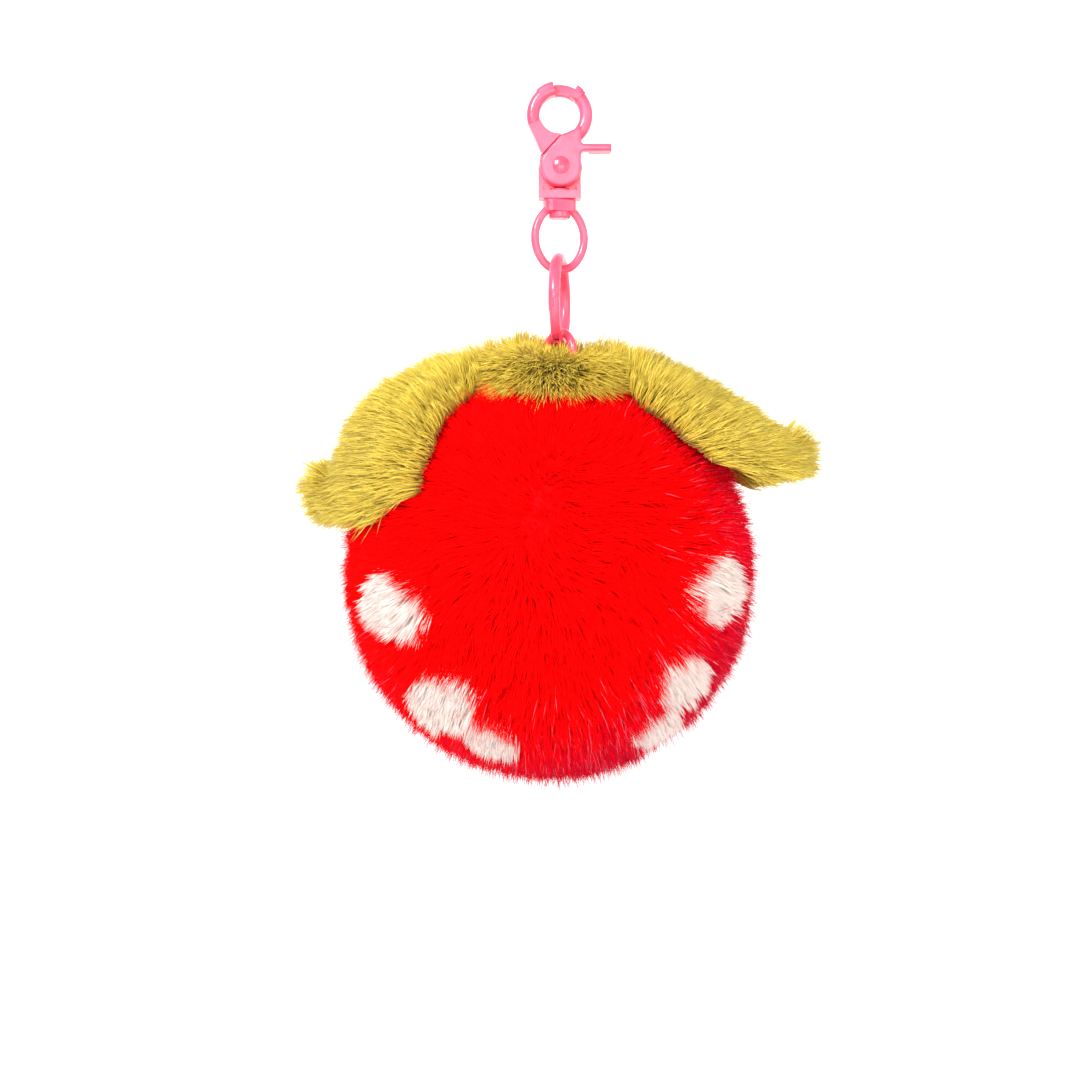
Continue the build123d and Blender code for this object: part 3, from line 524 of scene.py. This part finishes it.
def ball_pile(name, node, count, seed, sectors, colour_lots_of, material, slot_name, length, width, inward=0.0):
    """Pile rooted on one node of the ball; inward moves the roots up the lie, so tips end over the node."""
    rng = np.random.default_rng(seed)
    p, _, _ = scatter(node, count, rng, outer)
    away = unit((p - ball_middle) * IN_FACE)
    reach = (p - ball_middle - away * inward) / BALL_SIZE
    p = ball_middle + unit(reach) * BALL_SIZE
    n = ball_normal(p)
    p = p - n * PILE_DEPTH
    flow = ball_flow(p, n)
    colour_lots = colour_lots_of(p, rng)
    turn = (np.degrees(np.arctan2((p - ball_middle)[:, 2], (p - ball_middle)[:, 0])) + 360) % 360
    rim = np.clip(reach_out(p) - RIM_START, 0, 1 - RIM_START) / (1 - RIM_START)
    size = length * (1 - RIM_SHORTER * rim)
    for k in range(sectors):
        part = (turn >= 360 * k / sectors) & (turn < 360 * (k + 1) / sectors)
        label = name if sectors == 1 else f"{name}_{k + 1}"
        pile(label, p[part], n[part], flow[part], size[part], width, colour_lots[part],
             np.random.default_rng(seed * 10 + k), material, slot_name)


# The sectors keep each mesh under the 200 000 triangles that the exporter takes whole.
ball_pile("front_pile", "front_fur_panel", 48000, 11, 6, red_lots_and_painted_light, red_fur, "red_fur", 9.5 * MM, 0.27 * MM)
ball_pile("back_pile", "back_fur_panel", 34000, 12, 4, red_lots_and_painted_light, red_fur, "red_fur", 9.5 * MM, 0.34 * MM)


def white_dye(p, rng):
    return np.clip(rng.beta(1.2, 3.5, len(p)), 0, 0.95)


PATCH_HAIRS = 5.5  # per square millimetre

for number, node in enumerate(sorted(n for n in nodes if n.startswith("white_patch"))):
    _, _, area = scatter(node, 10, np.random.default_rng(100 + number), outer)
    count = int(area / MM ** 2 * PATCH_HAIRS)
    ball_pile(node + "_pile", node, count, 200 + number, 1, white_dye, white_fur, "white_fur",
              9.0 * MM, 0.36 * MM, inward=3.0 * MM)
    # Backing of the patch, a little proud of the red backing.
    mesh = nodes[node].data.copy()
    points, _ = mesh_arrays(mesh)
    level = np.linalg.norm((points - ball_middle) / BALL_SIZE, axis=1)
    sunk = np.where(level > 0.97, BACKING_DEPTH - PATCH_RISE, 0.0)
    points = points - ball_normal(points) * sunk[:, None]
    mesh.vertices.foreach_set("co", points.ravel())
    mesh.materials.clear()
    mesh.name = node + "_backing"
    place_piece(node + "_backing", mesh, white_backing, "plush", "white_fur", node)

# ---------------------------------------------------------------- calyx and leaves
backing("calyx_backing", "calyx_cap", green_backing, "green_fur", 0.9 * MM, 0.7 * MM, 0.2 * MM)
for side in ("left", "right"):
    backing(side + "_leaf_top", side + "_leaf_fur", green_backing, "green_fur",
            0.7 * MM, 0.7 * MM, 0.15 * MM)
    backing(side + "_leaf_under", side + "_leaf_lining", green_backing, "green_lining",
            0.45 * MM, 0.1 * MM, 0.05 * MM)


def green_dye(p, rng):
    return np.clip(rng.normal(0.38, 0.17, len(p)), 0, 0.97)


LEAF_SPAN = math.radians(65)  # of the ball's outline, from its top to the tip of a leaf
TIPWARD = {"left": 0.3, "right": 0.1}  # how far the hair turns along each leaf where it leaves the calyx


def leaf_flow(p, n, side):
    """Up from the leaf's two long edges to its ridge, and turning along the leaf towards its tip."""
    out = unit((p - ball_middle) * IN_FACE)
    turn = 1.0 if side == "left" else -1.0
    along = np.stack([-out[:, 2] * turn, np.zeros(len(p)), out[:, 0] * turn], axis=1)
    progress = np.clip((math.pi / 2 - np.arcsin(out[:, 2:3])) / LEAF_SPAN, 0, 1)
    flow = out * 0.9 + unit(along) * (TIPWARD[side] + 0.45 * progress)
    flow = flow - 0.75 * (flow * n).sum(-1, keepdims=True) * n
    return unit(flow)


def facing_out(c, m):
    """How squarely a face with centre c and normal m looks away from the middle of the ball."""
    return (m * unit(c - ball_middle)).sum(1)


def leaf_pile(side, kind, rng, node, count, keep, depth, length, width, slot_name, darker=0.0, **lie):
    """Pile rooted on one node of a leaf, where keep(facing) is true."""
    p, n, _ = scatter(side + node, count, rng, lambda c, m: keep(facing_out(c, m)))
    p = p - n * depth
    pile(side + kind, p, n, leaf_flow(p, n, side), length, width, green_dye(p, rng) + darker, rng,
         green_fur, slot_name, **lie)


for number, side in enumerate(("left", "right")):
    rng = np.random.default_rng(300 + number)
    leaf_pile(side, "_leaf_pile", rng, "_leaf_fur", 11500, lambda facing: facing > -0.35,
              GREEN_DEPTH, 9.5 * MM, 0.34 * MM, "green_fur", lift=(0.6, 0.2), clump=0.5)
    leaf_pile(side, "_leaf_underpile", rng, "_leaf_lining", 4000, lambda facing: facing < -0.2,
              0.0, 3.0 * MM, 0.3 * MM, "green_lining", darker=0.2, lift=(0.3, 0.05), clump=0.4)
    leaf_pile(side, "_leaf_edge_pile", rng, "_leaf_lining", 3500, lambda facing: np.abs(facing) < 0.75,
              0.0, 7.0 * MM, 0.34 * MM, "green_fur", lift=(0.8, 0.2), clump=0.5)

# Long thin guard hairs stand out of the leaves' pile and round the ball's outline.
for number, side in enumerate(("left", "right")):
    rng = np.random.default_rng(500 + number)
    p, n, _ = scatter(side + "_leaf_fur", 6000, rng, lambda c, m: facing_out(c, m) > -0.35)
    pile(side + "_leaf_guard_hairs", p - n * GREEN_DEPTH, n, leaf_flow(p, n, side), 9.5 * MM, 0.2 * MM,
         green_dye(p, rng) - 0.2, rng, green_fur, "green_fur", lift=(0.7, 0.25), clump=0.25, frizz=0.35)
for number, node in enumerate(("front_fur_panel", "back_fur_panel")):
    rng = np.random.default_rng(520 + number)
    p, _, _ = scatter(node, 9000, rng, lambda c, m: outer(c, m) & (reach_out(c) > 0.7))
    n = ball_normal(p)
    p = p - n * PILE_DEPTH
    # The guard hairs' lots are pushed 0.2 further into the painted rim shade and the painted pink glints.
    pile(node + "_guard_hairs", p, n, ball_flow(p, n), 9.0 * MM, 0.17 * MM,
         np.clip(red_lots_and_painted_light(p, rng) + 0.2, 0, 0.97), rng, red_fur, "red_fur",
         lift=(0.9, 0.3), clump=0.15, frizz=0.4)

# The calyx: hair stands up round its middle and lies outward at its rim. Facing is 1 in front of the rings,
# where the hair is shorter and flatter, and 0 behind them.
rng = np.random.default_rng(400)
cap_middle = np.array(middle(cap_low, cap_high))
p, n, _ = scatter("calyx_cap", 12000, rng, lambda c, m: m[:, 2] > -0.2)
p = p - n * CAP_DEPTH
reach = (p - cap_middle) * np.array([1.0, 1.0, 0.0])
outward = np.clip((np.linalg.norm(reach, axis=1) - CAP_HOLE) / (CAP_RIM - CAP_HOLE), 0, 1)[:, None]
facing = np.clip(0.5 - p[:, 1:2] / (4 * MM), 0, 1)
up = (0.7 - 0.45 * facing) - 1.3 * outward
flow = unit(unit(reach) * (1.3 * outward - 0.15 + 0.5 * facing) + np.array([0.0, 0.0, 1.0]) * up)
length = (9.0 - 2.5 * facing[:, 0] + (2.5 + 2.0 * facing[:, 0]) * outward[:, 0]) * MM
pile("calyx_pile", p, n, flow, length, 0.32 * MM, green_dye(p, rng), rng,
     green_fur, "green_fur", lift=(0.9, 0.25), clump=0.45, frizz=0.3)

# ---------------------------------------------------------------- tab
mesh = nodes["hanging_tab"].data.copy()
mesh.materials.clear()
mesh.name = "hanging_tab_tape"
tape = place_piece("hanging_tab_tape", mesh, red_tape, "plush", "red_tape", "hanging_tab")
edge = tape.modifiers.new("soft_edges", "BEVEL")
edge.width = 0.15 * MM
edge.segments = 2
edge.limit_method = "ANGLE"

# ---------------------------------------------------------------- stage, light and camera
FLOOR_DROP = 0.030  # from the lowest point of the part to the paper
SWEEP_HALF_WIDTH = 1.6
SWEEP_FRONT = -0.9
SWEEP_BEND = 0.12  # where the paper starts to curve up
SWEEP_RADIUS = 0.2
SWEEP_TOP = 1.2

floor_z = cad_box[0][2] - FLOOR_DROP
profile = [(SWEEP_FRONT, floor_z), (SWEEP_BEND, floor_z)]
for angle in range(10, 91, 10):
    turn = math.radians(angle)
    rise = floor_z + SWEEP_RADIUS - SWEEP_RADIUS * math.cos(turn)
    profile.append((SWEEP_BEND + SWEEP_RADIUS * math.sin(turn), rise))
profile.append((SWEEP_BEND + SWEEP_RADIUS, SWEEP_TOP))
sweep = bmesh.new()
previous = None
for y, z in profile:
    pair = [sweep.verts.new((x, y, z)) for x in (-SWEEP_HALF_WIDTH, SWEEP_HALF_WIDTH)]
    if previous:
        sweep.faces.new([previous[0], previous[1], pair[1], pair[0]])
    previous = pair
stage_mesh = bpy.data.meshes.new("studio_sweep")
sweep.to_mesh(stage_mesh)
sweep.free()
stage_mesh.polygons.foreach_set("use_smooth", np.ones(len(stage_mesh.polygons), dtype=bool))
paper, _, shader = new_material("pale_paper")
shader.inputs["Base Color"].default_value = (0.93, 0.93, 0.93, 1)
shader.inputs["Roughness"].default_value = 0.9
stage_mesh.materials.append(paper)
studio = bpy.data.objects.new("studio_sweep", stage_mesh)
scene.collection.objects.link(studio)

WORLD_LIGHT = 0.68

world = bpy.data.worlds.new("studio")
scene.world = world
world.use_nodes = True
world.node_tree.nodes["Background"].inputs[0].default_value = (1, 1, 1, 1)
world.node_tree.nodes["Background"].inputs[1].default_value = WORLD_LIGHT


def soft_light(name, place, aim, size, power):
    data = bpy.data.lights.new(name, "AREA")
    data.shape = "DISK"
    data.size = size
    data.energy = power
    lamp = bpy.data.objects.new(name, data)
    scene.collection.objects.link(lamp)
    lamp.location = place
    lamp.rotation_euler = (Vector(aim) - Vector(place)).to_track_quat("-Z", "Y").to_euler()


aim = (ball_middle[0], 0.0, ball_middle[2] + 0.03)
soft_light("key", (-0.35, -0.65, 0.35), aim, 0.22, 9.0)
soft_light("front", (0.05, -0.9, -0.05), aim, 0.5, 4.6)
soft_light("fill", (0.6, -0.4, 0.05), aim, 0.5, 1.8)

CAMERA_X, CAMERA_Z = -0.0047, -0.1018
CAMERA_AWAY = 0.43
VIEW_WIDTH = 0.2592  # seen in the plane y = 0
SENSOR_WIDTH = 36.0  # in millimetres
data = bpy.data.cameras.new("camera")
data.sensor_width = SENSOR_WIDTH
data.lens = SENSOR_WIDTH * CAMERA_AWAY / VIEW_WIDTH
camera = bpy.data.objects.new("camera", data)
scene.collection.objects.link(camera)
camera.location = (CAMERA_X, -CAMERA_AWAY, CAMERA_Z)
camera.rotation_euler = (math.radians(90), 0, 0)
scene.camera = camera
